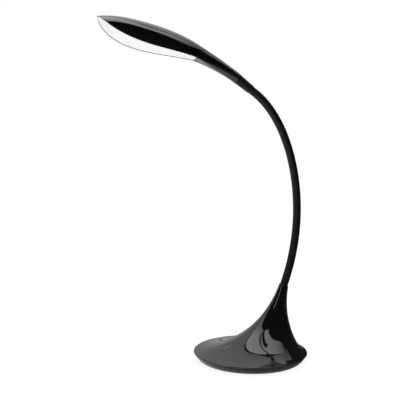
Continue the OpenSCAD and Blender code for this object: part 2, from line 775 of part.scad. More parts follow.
// A lead's swept stretch is a little thinner than its straight one, and starts inside it
cable_skin = 0.1;
cable_overlap = 1;
module base_cable() {
    color("#d8d4cc") {
        root_layer(cable_axis_l - cable_bend + cable_overlap, 0, cable_r);
        wire(route([[cable_turn[0], 0, cable_turn[1]], [cable_corner[0], 0, cable_corner[1]],
                    [cable_corner[0] - cable_bend, 0, lead_window_z], [2, 0, lead_window_z],
                    [-6, -3, lead_window_z - 2], [-12, -6, board_top_z + 5],
                    [-17, -7, board_top_z + cable_r + 0.2]], 20), cable_r - cable_skin);
    }
}

// ---- Neck pieces ----

module neck_core_root() {
    color(steel) root_layer(root_core_depth, core_bore_r, core_r);
}

module neck_sleeve_root() {
    color(black_rubber) root_layer(mouth_depth, sleeve_r - sleeve_wall, sleeve_r);
}

module neck_cable(k) {
    color("#d8d4cc") link_layer(k, 0, cable_r);
}

module neck_core(k) {
    color(steel) link_layer(k, core_bore_r, core_r);
}

module neck_sleeve(k) {
    color(black_rubber) link_layer(k, sleeve_r - sleeve_wall, sleeve_r);
}

module neck_sleeve_tip() {
    color(black_rubber) tip_layer(tip_l + sleeve_in_collar, sleeve_r - sleeve_wall, sleeve_r);
}

module neck_core_tip() {
    color(steel) tip_layer(tip_l + collar_l + core_in_stem, core_bore_r, core_r);
}

upper_ferrule_wall = 0.75;
upper_ferrule_r = core_r + ferrule_bore_gap + upper_ferrule_wall;
upper_ferrule_grip = 10;
upper_ferrule_l = 12;

cable_in_stem = upper_ferrule_l + 2;
cable_out = cable_in_stem + 12;
cable_end = led_mid - chord_dir * (led_board_l / 2 + spreader_margin + 1.5);
module neck_cable_tip() {
    color("#d8d4cc") {
        tip_layer(tip_l + collar_l + cable_in_stem, 0, cable_r);
        on_head() wire(route([[0, 0, cable_in_stem - cable_overlap], [0, 0, cable_out],
                              [cable_end[0] / 4, 0, 0.7 * cable_out + 0.3 * cable_end[1]],
                              [cable_end[0], 0, cable_end[1]]], 12), cable_r - cable_skin);
    }
}

// ---- Head pieces ----

module head_collar() {
    color(black_rubber) on_head() difference() {
        translate([0, 0, -collar_l])
            cylinder(r1 = bore_r + collar_wall, r2 = stem_r - 0.3, h = collar_l - split_gap);
        translate([0, 0, -collar_l - 1]) cylinder(r = bore_r, h = sleeve_in_collar + 1 + split_gap);
        translate([0, 0, -collar_l]) cylinder(r = upper_ferrule_r + ferrule_gap, h = 2 * collar_l);
    }
}

module upper_ferrule() {
    color(brass) on_head() difference() {
        union() {
            translate([0, 0, -upper_ferrule_grip])
                cylinder(r = upper_ferrule_r, h = upper_ferrule_grip + upper_ferrule_l);
            translate([0, 0, 2]) cylinder(r = stem_r - stem_wall - through_gap, h = 3);
        }
        translate([0, 0, -upper_ferrule_grip - 1])
            cylinder(r = core_r + ferrule_bore_gap, h = upper_ferrule_grip + core_in_stem + 1 + split_gap);
        cylinder(r = cable_r + layer_gap, h = 2 * upper_ferrule_l);
    }
}

module head_cover() {
    blade_us = [for (i = [0:blade_steps]) blade_start + (1 - blade_start) * i / blade_steps];
    stem_us = [for (i = [1:stem_steps]) i / stem_steps];
    color(black_gloss) difference() {
        union() {
            on_head() shell_solid(
                concat([for (u = blade_us) blade_rib(u)],
                       [for (u = stem_us) shell_rib(stem_rim_curve, stem_crest_curve, u, 0)]),
                concat([for (u = blade_us) hollow_rib(u)],
                       [for (u = stem_us) shell_rib(stem_rim_curve, stem_crest_curve, u, stem_wall_at(u))]));
            for (p = post_crests) on_led_board(led_board_t / 2 + spreader_t) translate([p * chord_dir, 0, 0])
                cylinder(d = head_post_d, h = p * chord_up - head_post_root - led_board_t / 2 - spreader_t);
        }
        at_head_posts(led_board_t / 2) cylinder(d = head_screw_d + 2 * thread_gap, h = head_screw_l);
    }
}

module head_underside() {
    us = [for (i = [0:stem_steps]) i / stem_steps];
    color(black_gloss) on_head() translate([-split_gap, 0, 0]) shell_solid(
        [for (u = us) shell_rib(stem_rim_curve, stem_under_curve, u, stem_wall_at(u))],
        [for (u = us) shell_rib(stem_rim_curve, stem_under_curve, u, 0)]);
}

panel_start = 0.06;
panel_end = 0.997;
panel_steps = 14;
panel_points = 8;
panel_nose = 0.3;
panel_tip_w = 4;
panel_draft = 0.25;
// Row of the light panel's points across the blade at place u, a depth behind its face
function panel_row(u, depth) =
    let (v = panel_start + (panel_end - panel_start) * u, e = bezier(rim_curve, v),
         up = unit(bezier(crest_curve, v) - e), full = bezier(spread_curve, v) - head_wall - panel_gap,
         half_w = full * pow(1 - pow(1 - u, 16), panel_nose) + panel_tip_w * pow(1 - u, 16)
             - panel_draft * depth)
    [for (j = [0:panel_points])
        let (s = 2 * j / panel_points - 1, p = e + up * (panel_recess + depth - panel_crown * (1 - s * s)))
        [p[0], half_w * s, p[1]]];
module diffuser() {
    us = [for (i = [0:panel_steps]) i / panel_steps];
    color("#f2f1ee") on_head()
        shell_solid([for (u = us) panel_row(u, panel_t)], [for (u = us) panel_row(u, 0)]);
}

module led_plate(l, w, t, z) {
    difference() {
        on_led_board(z) translate([-l / 2, -w / 2, 0]) cube([l, w, t]);
        at_head_posts(z - 1) cylinder(d = head_screw_d + 2 * through_gap, h = t + 2);
    }
}

module led_board() {
    color("#e9e7e0") led_plate(led_board_l, led_board_w, led_board_t, -led_board_t / 2);
}

module heat_spreader() {
    color(steel) led_plate(led_board_l + 2 * spreader_margin, led_board_w + 2 * spreader_margin,
                           spreader_t, led_board_t / 2);
}

module led_chips() {
    pitch = led_board_l / led_count;
    color("#f3d46b") for (i = [0:led_count - 1], s = [-1, 1])
        on_led_board(-led_board_t / 2 - led_size[2])
            translate([(i + 0.5) * pitch - led_board_l / 2 - led_size[0] / 2,
                       s * led_row_gap / 2 - led_size[1] / 2, 0]) cube(led_size);
}

module head_screws() {
    color(steel) at_head_posts(-led_board_t / 2) mirror([0, 0, 1])
        screw(head_screw_d, head_screw_l, head_screw_head);
}

base_cover();
base_tray();
base_pad();
ballast_plate();
ballast_screws();
tray_screws();
neck_bracket();
bracket_screws();
lower_ferrule();
control_board();
board_components();
board_screws();
touch_electrode();
touch_contact();
power_jack();
power_jack_pin();
power_leads();
base_cable();
neck_core_root();
neck_sleeve_root();
for (k = [1:link_count]) {
    neck_cable(k);
    neck_core(k);
    neck_sleeve(k);
}
neck_cable_tip();
neck_core_tip();
neck_sleeve_tip();
head_collar();
upper_ferrule();
head_cover();
head_underside();
diffuser();
heat_spreader();
led_board();
led_chips();
head_screws();
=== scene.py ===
import json
import math
import bmesh
import bpy
import numpy as np
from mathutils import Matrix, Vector


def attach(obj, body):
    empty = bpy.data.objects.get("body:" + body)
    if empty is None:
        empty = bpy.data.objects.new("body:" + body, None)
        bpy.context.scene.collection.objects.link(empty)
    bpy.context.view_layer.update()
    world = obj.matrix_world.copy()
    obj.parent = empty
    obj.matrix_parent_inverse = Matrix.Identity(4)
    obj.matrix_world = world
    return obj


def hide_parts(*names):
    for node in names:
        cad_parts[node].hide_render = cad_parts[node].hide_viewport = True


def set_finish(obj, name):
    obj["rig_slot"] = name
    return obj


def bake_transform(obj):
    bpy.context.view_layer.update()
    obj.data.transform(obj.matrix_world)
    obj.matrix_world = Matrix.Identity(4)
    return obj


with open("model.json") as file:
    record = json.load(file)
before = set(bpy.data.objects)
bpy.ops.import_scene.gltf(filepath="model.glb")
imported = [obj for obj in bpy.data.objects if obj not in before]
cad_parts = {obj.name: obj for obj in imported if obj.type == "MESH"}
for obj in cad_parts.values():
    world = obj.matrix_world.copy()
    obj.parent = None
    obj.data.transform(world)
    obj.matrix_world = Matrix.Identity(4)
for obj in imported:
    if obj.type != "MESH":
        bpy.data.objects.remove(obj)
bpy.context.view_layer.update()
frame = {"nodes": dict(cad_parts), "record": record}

MM = 0.001

# ---- The lamp's sizes, in millimetres, as in the part's source ----

# Base cover
BASE_R = 75
RIM_Z = 11
LIP_R = 0.9
COVER_WALL = 2.2
MOUTH = np.array([46.9, 96.9])
MOUTH_LEAN = 18.4
MOUTH_DEPTH = 12
FRONT_THROAT = 14.5
FRONT_HANDLES = [[20, 46.5], [-17, 13]]
BACK_HANDLES = [[46.5, 60], [54, 43.5], [61.5, 12]]
CAVITY = (0.24, 0.96)
TOUCH_PLACE = 0.8
DIMPLE_D = 13
DIMPLE_DEPTH = 0.8
DIMPLE_SOFTNESS = 0.12
DIMPLE_REACH = 4
POST_PLACE = 0.86
POST_ANGLES = (75, 150, 210, 285)
POST_D = 6
POST_ROOT = 0.6
PILOT_D = 3.1
PILOT_ROOF = 1
SEAT_Z = 5.2
SEAT_GAP = 0.1

# Neck
LINK_COUNT = 9
LINK_L = 29.2
NECK_BEND = 5.85
CROOK_BEND = 13.5
CROOK_POWER = 5.25
SLEEVE_R = 5.25
SLEEVE_WALL = 1.2
SLEEVE_FIT = 0.15
BORE_R = SLEEVE_R + SLEEVE_FIT
MOUTH_EDGE = 0.8
MOUTH_R = BORE_R + MOUTH_EDGE
ROOT_L = 9
TIP_L = 7
SLEEVE_IN_COLLAR = 8

# Head
COLLAR_L = 20.5
COLLAR_WALL = 0.4
COLLAR_STEP = 0.3
COLLAR_SEAT = 0.35
STEM_R = 6.7
HEAD_WALL = 2
STEM_WALL = 1.6
SPLIT_GAP = 0.1
TIP = np.array([-49.5, 187.5])
RIM_WAIST = np.array([-15, 60.5])
CREST_WAIST = np.array([2.5, 64.5])
WAIST_HALF_W = 14.7
RIM_CURVE = [TIP, TIP + [-1, -4.5], [-69, 145.5], [-33, 105.5], RIM_WAIST]
CREST_CURVE = [TIP, [-23.5, 157], [-33, 157], [-3, 121], CREST_WAIST]
SPREAD_CURVE = [0, 36, 42.5, 34, WAIST_HALF_W]
STEM_RIM_CURVE = [RIM_WAIST, [-10, 47], [0, 20], [0, 0]]
STEM_CREST_CURVE = [CREST_WAIST, [4.5, 47.5], [STEM_R, 22], [STEM_R, 0]]
STEM_SPREAD_CURVE = [WAIST_HALF_W, 9, STEM_R, STEM_R]
STEM_UNDER_CURVE = [RIM_WAIST + [-0.5, 0], [-12.5, 42], [-STEM_R, 20], [-STEM_R, 0]]
BLADE_ROUNDING = (0.8, 0.3)
STEM_ROUNDING = (0.25, 0.2)
HOLLOW_START = 0.08
PANEL_START = 0.06
PANEL_END = 0.997
PANEL_T = 1.6
PANEL_GAP = 0.3
PANEL_RECESS = 0.5
PANEL_CROWN = 1.5
PANEL_NOSE = 0.3
PANEL_NOSE_SHARPNESS = 16
PANEL_TIP_W = 4
PANEL_DRAFT = 0.25

# ---- How finely the skins are divided ----

AROUND = np.arange(0, 360, 4)
COVER_POINTS = 256
COVER_CROWDING = 1.4
COVER_START = 0.007
DIMPLE_SPAN = (0.72, 0.88)
CORNER_POINTS = 5
SLEEVE_END_RING = 0.012
TIP_START = 0.004
TIP_CROWDING = 1.5
SAME_POINT = 0.002

# ---- Plane geometry ----


def along(lean):
    """Step along a line that leans from upright towards the rear, as [x, z]."""
    return np.array([math.sin(math.radians(lean)), math.cos(math.radians(lean))])


def across(lean):
    """Step square to that line, towards the rear."""
    return np.array([math.cos(math.radians(lean)), -math.sin(math.radians(lean))])


def unit(v):
    return v / np.linalg.norm(v, axis=-1, keepdims=True)


def bezier(handles, u):
    """Points of a Bezier curve, one row for each u."""
    u = np.atleast_1d(np.asarray(u, float))[:, None]
    rows = [np.atleast_1d(np.asarray(h, float))[None, :] for h in handles]
    while len(rows) > 1:
        rows = [a * (1 - u) + b * u for a, b in zip(rows, rows[1:])]
    return rows[0]


def bezier_dir(handles, u):
    """Direction of that curve at each u."""
    step = 0.002
    return unit(bezier(handles, np.asarray(u) + step) - bezier(handles, np.asarray(u) - step))


# ---- Meshes ----


def to_object(name, bm):
    """Turns an edited mesh into an object of the scene."""
    mesh = bpy.data.meshes.new(name)
    bm.to_mesh(mesh)
    bm.free()
    made = bpy.data.objects.new(name, mesh)
    bpy.context.scene.collection.objects.link(made)
    return made


def put(name, rows, body=None, slot=None, replaces=(), wrap=True, extra=()):
    """Makes a smooth closed skin over rows of points in mm, rides it on a body, gives it a slot and hides the
    parts it stands for.
    The last row joins the first. Without wrap, each end row is closed by a strip across its two halves."""
    bm = bmesh.new()
    for block in [rows, *extra]:
        n, m = block.shape[:2]
        verts = [bm.verts.new(p * MM) for p in block.reshape(-1, 3)]
        for i in range(n if wrap else n - 1):
            for j in range(m):
                a, b, k = i * m, (i + 1) % n * m, (j + 1) % m
                bm.faces.new((verts[a + j], verts[a + k], verts[b + k], verts[b + j]))
        for a in () if wrap else (0, (n - 1) * m):
            for j in range(m // 2 - 1):
                bm.faces.new((verts[a + j], verts[a + j + 1], verts[a + m - 2 - j], verts[a + m - 1 - j]))
    bmesh.ops.remove_doubles(bm, verts=bm.verts, dist=SAME_POINT * MM)
    bmesh.ops.recalc_face_normals(bm, faces=bm.faces)
    piece = to_object(name, bm)
    piece.data.polygons.foreach_set("use_smooth", [True] * len(piece.data.polygons))
    if body:
        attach(piece, body)
    if slot:
        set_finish(piece, slot)
    if replaces:
        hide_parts(*replaces)
    return piece


def ring(centre, side, up, radius, angles):
    """Points round a circle, with side and up as its two radii's directions."""
    a = np.radians(angles)[:, None]
    return centre + radius * (np.cos(a) * side + np.sin(a) * up)


def turned(profile, origin, axis, side, angles):
    """Rows of points of a profile of [radius, height] turned about an axis."""
    third = np.cross(axis, side)
    return np.array([ring(origin + h * axis, side, third, r, angles) for r, h in profile])


def flat_to_space(p, y=0.0):
    """An [x, z] point of the middle plane, as a point in space."""
    return np.array([p[0], y, p[1]])


Y_AXIS = np.array([0, 1.0, 0])

# ---- Base cover ----

mouth_side = across(MOUTH_LEAN)
mouth_up = along(MOUTH_LEAN)
FRONT_CURVE = [MOUTH - mouth_side * MOUTH_R, MOUTH - mouth_side * MOUTH_R - mouth_up * FRONT_THROAT,
               *FRONT_HANDLES, [LIP_R - BASE_R, RIM_Z]]
BACK_CURVE = [MOUTH + mouth_side * MOUTH_R, *BACK_HANDLES, [BASE_R - LIP_R, RIM_Z]]


def cover_rings(f, b, angles):
    """Rings whose diameters join each front point to its rear point."""
    a = np.radians(angles)[None, :]
    c, h = (f + b) / 2, (b - f) / 2
    length = np.linalg.norm(h, axis=1)[:, None]
    return np.stack([c[:, :1] + h[:, :1] * np.cos(a), length * np.sin(a), c[:, 1:] + h[:, 1:] * np.cos(a)], -1)


def inner(u):
    """Front and rear points of the cover's inner skin."""
    df, db = bezier_dir(FRONT_CURVE, u), bezier_dir(BACK_CURVE, u)
    return (bezier(FRONT_CURVE, u) + COVER_WALL * np.stack([-df[:, 1], df[:, 0]], 1),
            bezier(BACK_CURVE, u) + COVER_WALL * np.stack([db[:, 1], -db[:, 0]], 1))


def with_dimple(rows):
    """Presses the finger dimple into rows of the outer skin."""
    at = bezier(FRONT_CURVE, TOUCH_PLACE)[0]
    slope = bezier_dir(FRONT_CURVE, TOUCH_PLACE)[0]
    out = flat_to_space([slope[1], -slope[0]])
    along_slope = flat_to_space(slope)
    radius = (DIMPLE_D ** 2 / 4 + DIMPLE_DEPTH ** 2) / (2 * DIMPLE_DEPTH)
    d = rows - flat_to_space(at)
    height = d @ out
    r2 = (d @ along_slope) ** 2 + d[..., 1] ** 2
    # The bowl is part of a sphere. Beyond the sphere the root stays real, and the fade is 0 there
    bowl = radius - DIMPLE_DEPTH - np.sqrt(np.maximum(radius ** 2 - r2, 1))
    mixed = (height + bowl) / 2 - np.sqrt((height - bowl) ** 2 / 4 + DIMPLE_SOFTNESS ** 2)
    near = (np.sqrt(r2) < DIMPLE_D) & (height > -DIMPLE_REACH)
    fade = np.clip((DIMPLE_D - np.sqrt(r2)) / (DIMPLE_D / 3), 0, 1)
    fade = fade * fade * (3 - 2 * fade)
    new = np.where(near, height + (mixed - height) * fade, height)
    return rows + (new - height)[..., None] * out


def build_cover():
    """The cover's outer skin, lip, inner skin, mouth and screw posts."""
    # Angles are closer together at the front, and rings at the dimple's height
    t = np.linspace(-1, 1, COVER_POINTS + 1)[:-1]
    angles = 180 + 180 * np.sign(t) * np.abs(t) ** COVER_CROWDING
    u = np.unique(np.concatenate([np.linspace(COVER_START, 1, 130), np.linspace(*DIMPLE_SPAN, 44)]))
    outer = with_dimple(cover_rings(bezier(FRONT_CURVE, u), bezier(BACK_CURVE, u), angles))
    a = np.radians(np.linspace(90, -90, 13))[1:]
    r, z = BASE_R - LIP_R + LIP_R * np.cos(a), RIM_Z - LIP_R + LIP_R * np.sin(a)
    lip = cover_rings(np.stack([-r, z], 1), np.stack([r, z], 1), angles)
    inside = cover_rings(*inner(np.linspace(CAVITY[1], CAVITY[0], 50)), angles)
    # The mouth's edge is half a round between the bore and the outer skin
    edge = (MOUTH_R - BORE_R) / 2
    turn = np.radians(np.linspace(0, 180, 9))
    heights = np.concatenate([[-MOUTH_DEPTH], -edge + edge * np.sin(turn)])
    radii = np.concatenate([[BORE_R], BORE_R + edge - edge * np.cos(turn)])
    centre = MOUTH + heights[:, None] * mouth_up
    mouth = cover_rings(centre - radii[:, None] * mouth_side, centre + radii[:, None] * mouth_side, angles)
    posts = []
    for angle in POST_ANGLES:
        f, b = inner(np.array([POST_PLACE]))
        top = cover_rings(f, b, np.array([angle]))[0, 0]
        low = SEAT_Z + SEAT_GAP
        profile = [(PILOT_D / 2, low), (POST_D / 2, low), (POST_D / 2, top[2] + POST_ROOT),
                   (PILOT_D / 2, top[2] - PILOT_ROOF)]
        posts.append(turned(profile, np.array([top[0], top[1], 0]), np.array([0, 0, 1.0]),
                            np.array([1.0, 0, 0]), AROUND))
    return put("base_cover_shell", np.concatenate([outer, lip, inside, mouth]), "base", "gloss_abs",
               ["base_cover"], extra=posts)


# ---- Neck: joints numbered from 1, link k runs from joint k to joint k + 1 ----


def link_bend(k):
    """Degrees that link k bends forward, more towards the head."""
    return NECK_BEND + CROOK_BEND * ((k - 0.5) / LINK_COUNT) ** CROOK_POWER


def step_on(point, lean, bend, length):
    """Goes along an arc of that bend and length, and returns the new point and lean."""
    if bend == 0:
        return point + along(lean) * length, lean
    chord = 2 * length * 180 / (math.pi * bend) * math.sin(math.radians(bend / 2))
    return point + along(lean - bend / 2) * chord, lean - bend


JOINTS = [(MOUTH + mouth_up * ROOT_L, float(MOUTH_LEAN))]
for k in range(1, LINK_COUNT + 1):
    JOINTS.append(step_on(*JOINTS[-1], link_bend(k), LINK_L))
HEAD_LEAN = JOINTS[-1][1]
HEAD_AT = JOINTS[-1][0] + along(HEAD_LEAN) * (TIP_L + COLLAR_L)


def link_place(k, share):
    """Point and lean on link k at a share of its length. Links 0 and LINK_COUNT + 1 are the straight ends."""
    if k == 0:
        return step_on(*JOINTS[0], 0, (share - 1) * (ROOT_L + MOUTH_DEPTH))
    if k == LINK_COUNT + 1:
        return step_on(*JOINTS[-1], 0, share * (TIP_L + SLEEVE_IN_COLLAR))
    return step_on(*JOINTS[k - 1], link_bend(k) * share, LINK_L * share)


def build_sleeve():
    """One piece of sleeve for each joint, from the middle of one link to the middle of the next."""
    made = []
    for k in range(1, LINK_COUNT + 2):
        low = 0 if k == 1 else 0.5
        high = 1 if k == LINK_COUNT + 1 else 0.5
        # A close ring at each end keeps the shading even from piece to piece
        below = low + (1 - low) * np.concatenate([[0, SLEEVE_END_RING], np.linspace(0.05, 1, 14)])
        above = high * np.concatenate([np.linspace(0, 0.95, 14)[1:], [1 - SLEEVE_END_RING, 1]])
        path = [link_place(k - 1, s) for s in below] + [link_place(k, s) for s in above]
        rows = [ring(flat_to_space(p), flat_to_space(across(lean)), Y_AXIS, radius, AROUND)
                for radius, places in ((SLEEVE_R, path), (SLEEVE_R - SLEEVE_WALL, path[::-1]))
                for p, lean in places]
        piece = put(f"neck_sleeve_skin_{k}", np.array(rows), slot="neck_rubber")
        names = [f"neck_sleeve_{k}"] if k <= LINK_COUNT else ["neck_sleeve_tip"]
        if k == 1:
            names.append("neck_sleeve_root")
        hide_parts(*names)
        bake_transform(piece)
        made.append(piece)
    return made


# ---- Head, in its own axes: [rise, y, reach] ----

head_rise = flat_to_space(across(HEAD_LEAN))
head_reach = flat_to_space(along(HEAD_LEAN))


def on_head(rows):
    """Takes rows of [rise, y, reach] points to the lamp's frame."""
    rise, y, reach = rows[..., :1], rows[..., 1:2], rows[..., 2:]
    return flat_to_space(HEAD_AT) + rise * head_rise + y * Y_AXIS + reach * head_reach


def shell_rows(edge, crest, half_w, inner_edge, inner_crest, inner_w, round_out, round_in, points=48):
    """Closed sections of a half-elliptic shell with rounded edges, one for each row of the arguments."""
    rows = []
    for e, c, w, ei, ci, wi in zip(edge, crest, half_w, inner_edge, inner_crest, inner_w):
        rise, inner_rise = np.linalg.norm(c - e), np.linalg.norm(ci - ei)
        up = flat_to_space(unit(c - e))
        half = []
        a0 = math.asin(min(0.5, round_out / rise))
        b0 = math.asin(min(0.5, round_in / inner_rise))
        # From the crest down to the outer corner, along the edge, and up to the inner crest, on the +y side
        for a in np.linspace(math.pi / 2, math.pi - a0, points):
            half.append(flat_to_space(e + (c - e) * math.sin(a), -w * math.cos(a)))
        outer_corner, inner_corner = flat_to_space(e, w), flat_to_space(ei, wi)
        inward = unit(inner_corner - outer_corner)
        for a in np.linspace(0, math.pi / 2, CORNER_POINTS + 1)[1:]:
            half.append(outer_corner + (up + inward) * round_out
                        - round_out * (inward * math.cos(a) + up * math.sin(a)))
        for a in np.linspace(0, math.pi / 2, CORNER_POINTS):
            half.append(inner_corner + (up - inward) * round_in
                        + round_in * (inward * math.sin(a) - up * math.cos(a)))
        for a in np.linspace(math.pi - b0, math.pi / 2, points)[1:]:
            half.append(flat_to_space(ei + (ci - ei) * math.sin(a), -wi * math.cos(a)))
        half = np.array(half)
        # Each row starts at the middle of the edge on the -y side, so its halves are the outer and the inner skin
        other = half[::-1] * [1, -1, 1]
        rows.append(np.roll(np.concatenate([half, other[1:-1]]), points + CORNER_POINTS - 1, axis=0))
    return np.array(rows)


def inset_crest(e, c, inset):
    """The crest moved towards its edge by the wall."""
    return c - unit(c - e) * inset


def build_head_cover():
    """The leaf-shaped blade and the upper half of the stem, with sections closer together near the tip."""
    u = TIP_START + (1 - TIP_START) * np.linspace(0, 1, 90) ** TIP_CROWDING
    v = HOLLOW_START + (1 - HOLLOW_START) * u
    blade = shell_rows(bezier(RIM_CURVE, u), bezier(CREST_CURVE, u), bezier(SPREAD_CURVE, u)[:, 0],
                       bezier(RIM_CURVE, v), inset_crest(bezier(RIM_CURVE, v), bezier(CREST_CURVE, v), HEAD_WALL),
                       bezier(SPREAD_CURVE, v)[:, 0] - HEAD_WALL, *BLADE_ROUNDING)
    s = np.linspace(0, 1, 36)[1:]
    wall = (HEAD_WALL + (STEM_WALL - HEAD_WALL) * s)[:, None]
    e, c = bezier(STEM_RIM_CURVE, s), bezier(STEM_CREST_CURVE, s)
    w = bezier(STEM_SPREAD_CURVE, s)[:, 0]
    stem = shell_rows(e, c, w, e, inset_crest(e, c, wall), w - wall[:, 0], *STEM_ROUNDING)
    rows = np.concatenate([blade, stem])
    return put("head_cover_shell", on_head(rows), "head", "gloss_abs", ["head_cover"], wrap=False)


def build_underside():
    """The lower half of the stem, which meets the upper one at its edge."""
    s = np.linspace(0, 1, 40)
    wall = (HEAD_WALL + (STEM_WALL - HEAD_WALL) * s)[:, None]
    e, c = bezier(STEM_RIM_CURVE, s) - [SPLIT_GAP, 0], bezier(STEM_UNDER_CURVE, s) - [SPLIT_GAP, 0]
    w = bezier(STEM_SPREAD_CURVE, s)[:, 0]
    rows = shell_rows(e, c, w, e, inset_crest(e, c, wall), w - wall[:, 0], *STEM_ROUNDING)
    return put("head_underside_shell", on_head(rows), "head", "gloss_abs", ["head_underside"], wrap=False)


def build_diffuser():
    """The light panel: a crowned sheet that fills the blade's mouth, round at the tip."""
    u = np.concatenate([np.linspace(0, 0.06, 14)[:-1], np.linspace(0.06, 1, 60)])
    v = PANEL_START + (PANEL_END - PANEL_START) * u
    e = bezier(RIM_CURVE, v)
    up = unit(bezier(CREST_CURVE, v) - e)
    full = bezier(SPREAD_CURVE, v)[:, 0] - HEAD_WALL - PANEL_GAP
    nose = (1 - u) ** PANEL_NOSE_SHARPNESS
    s = np.linspace(-1, 1, 41)

    def sheet(depth):
        """One face of the panel, that far up into the head."""
        half_w = full * (1 - nose) ** PANEL_NOSE + PANEL_TIP_W * nose - PANEL_DRAFT * depth
        lift = PANEL_RECESS + depth - PANEL_CROWN * (1 - s * s)
        p = e[:, None, :] + up[:, None, :] * lift[None, :, None]
        return np.stack([p[..., 0], half_w[:, None] * s[None, :], p[..., 1]], -1)

    face, back = sheet(0), sheet(PANEL_T)
    rows = np.concatenate([face, back[:, ::-1]], 1)
    return put("light_panel", on_head(rows), "head", "opal_acrylic", ["diffuser"], wrap=False)


def build_collar():
    """The tapered collar, with its edges broken and a seat for the sleeve's end inside."""
    low_r, top_r = BORE_R + COLLAR_WALL, STEM_R - COLLAR_STEP
    low, top = -COLLAR_L, -SPLIT_GAP
    bore_r, seat = BORE_R - COLLAR_SEAT, -COLLAR_L + SLEEVE_IN_COLLAR
    profile = [(low_r - 0.15, low), (low_r, low + 0.2), (low_r + 0.01, low + 0.4)]
    profile += [(low_r + (top_r - low_r) * s, low + (top - low) * s) for s in np.linspace(0.05, 0.96, 12)]
    profile += [(top_r - 0.05, top - 0.25), (top_r - 0.25, top), (bore_r, top),
                (bore_r, seat), (BORE_R, seat), (BORE_R, low)]
    rows = turned(profile, flat_to_space(HEAD_AT), head_reach, head_rise, AROUND)
    return put("head_collar_skin", rows, "head", "neck_rubber", ["head_collar"])


# ---- Materials ----


def colour(code):
    """An sRGB hex code as a linear colour."""
    c = [int(code[i:i + 2], 16) / 255 for i in (1, 3, 5)]
    return tuple(x / 12.92 if x <= 0.04045 else ((x + 0.055) / 1.055) ** 2.4 for x in c) + (1,)


def per(mm):
    """A texture's scale for features that many millimetres apart, in coordinates that are in metres."""
    return 1 / (mm * MM)


def empty_tree(owner):
    """The node tree of a material or world, with no nodes."""
    owner.use_nodes = True
    owner.node_tree.nodes.clear()
    return owner.node_tree


def add(tree, kind, values=None, links=None, **settings):
    """Adds a node with its settings, its sockets' values and its links from (node, output) pairs."""
    made = tree.nodes.new("ShaderNode" + kind)
    for name, value in settings.items():
        setattr(made, name, value)
    for name, value in (values or {}).items():
        made.inputs[name].default_value = value
    for name, (source, output) in (links or {}).items():
        tree.links.new(source.outputs[output], made.inputs[name])
    return made


# Noise lies mostly between these two values
NOISE_SPAN = (0.3, 0.7)
GRAIN_SHARE = 0.4


def finish_of(name, dark, light, rough, spot_mm, grain_mm, bump_mm, values, stretch=(1, 1, 1)):
    """A solid finish: colour between two tones and roughness between two values in soft spots,
    with a fine grain in both and in the bump."""
    material = bpy.data.materials.new(name)
    tree = empty_tree(material)
    where = add(tree, "TexCoord")
    along_grain = add(tree, "Mapping", {"Scale": stretch}, {"Vector": (where, "Object")})
    spots = add(tree, "TexNoise", {"Scale": per(spot_mm), "Detail": 3, "Roughness": 0.55},
                {"Vector": (along_grain, "Vector")})
    grain = add(tree, "TexNoise", {"Scale": per(grain_mm), "Detail": 2, "Roughness": 0.6},
                {"Vector": (along_grain, "Vector")})
    both = add(tree, "Mix", {"Factor": GRAIN_SHARE}, {"A": (spots, "Fac"), "B": (grain, "Fac")},
               data_type="FLOAT")
    tones = add(tree, "ValToRGB", links={"Fac": (both, "Result")})
    for i, code in enumerate((dark, light)):
        tones.color_ramp.elements[i].position = NOISE_SPAN[i]
        tones.color_ramp.elements[i].color = colour(code)
    polish = add(tree, "MapRange", {"From Min": NOISE_SPAN[0], "From Max": NOISE_SPAN[1],
                                    "To Min": rough[0], "To Max": rough[1]}, {"Value": (both, "Result")})
    relief = add(tree, "Bump", {"Strength": 1, "Distance": bump_mm * MM}, {"Height": (grain, "Fac")})
    surface = add(tree, "BsdfPrincipled", values,
                  {"Base Color": (tones, "Color"), "Roughness": (polish, "Result"), "Normal": (relief, "Normal")})
    add(tree, "OutputMaterial", links={"Surface": (surface, "BSDF")})
    return material


# High-gloss ABS from a polished mould: near black, mirror-like, with a faint haze from wiping
piano_black_abs = finish_of("piano_black_abs", "#0a090a", "#100f10", rough=(0.035, 0.075),
                            spot_mm=38, grain_mm=9, bump_mm=0.004, values={"IOR": 1.54})
# ABS from a fine spark-eroded mould: a dull black with a soft sheen
satin_black_abs = finish_of("satin_black_abs", "#0d0c0d", "#141314", rough=(0.26, 0.36),
                            spot_mm=22, grain_mm=0.9, bump_mm=0.01,
                            values={"IOR": 1.54, "Specular IOR Level": 0.3})
# Extruded silicone rubber: an even satin black that gathers a little dust
silicone_rubber = finish_of("silicone_rubber", "#0b0b0b", "#121212", rough=(0.4, 0.5),
                            spot_mm=12, grain_mm=0.7, bump_mm=0.008,
                            values={"IOR": 1.43, "Specular IOR Level": 0.3})
# Opal acrylic, extruded and frosted on its face: milky, with no grain to be seen from a step away, and a faint
# painted glow that brightens its shaded face
opal_acrylic = finish_of("opal_acrylic", "#efefef", "#f5f5f5", rough=(0.4, 0.44),
                         spot_mm=40, grain_mm=9, bump_mm=0,
                         values={"IOR": 1.49, "Specular IOR Level": 0.3, "Emission Color": colour("#ffffff"),
                                 "Emission Strength": 0.22})
# Zinc-plated steel: cool grey with a cloudy, slightly blue film
zinc_plated_steel = finish_of("zinc_plated_steel", "#8d9094", "#b4b6b8", rough=(0.28, 0.42),
                              spot_mm=5, grain_mm=0.5, bump_mm=0.01, values={"Metallic": 1})
# Turned brass: fine rings from the lathe, a warm yellow that has dulled a little
turned_brass = finish_of("turned_brass", "#a5813f", "#c9a85e", rough=(0.22, 0.36),
                         spot_mm=4, grain_mm=0.3, bump_mm=0.01, values={"Metallic": 1})
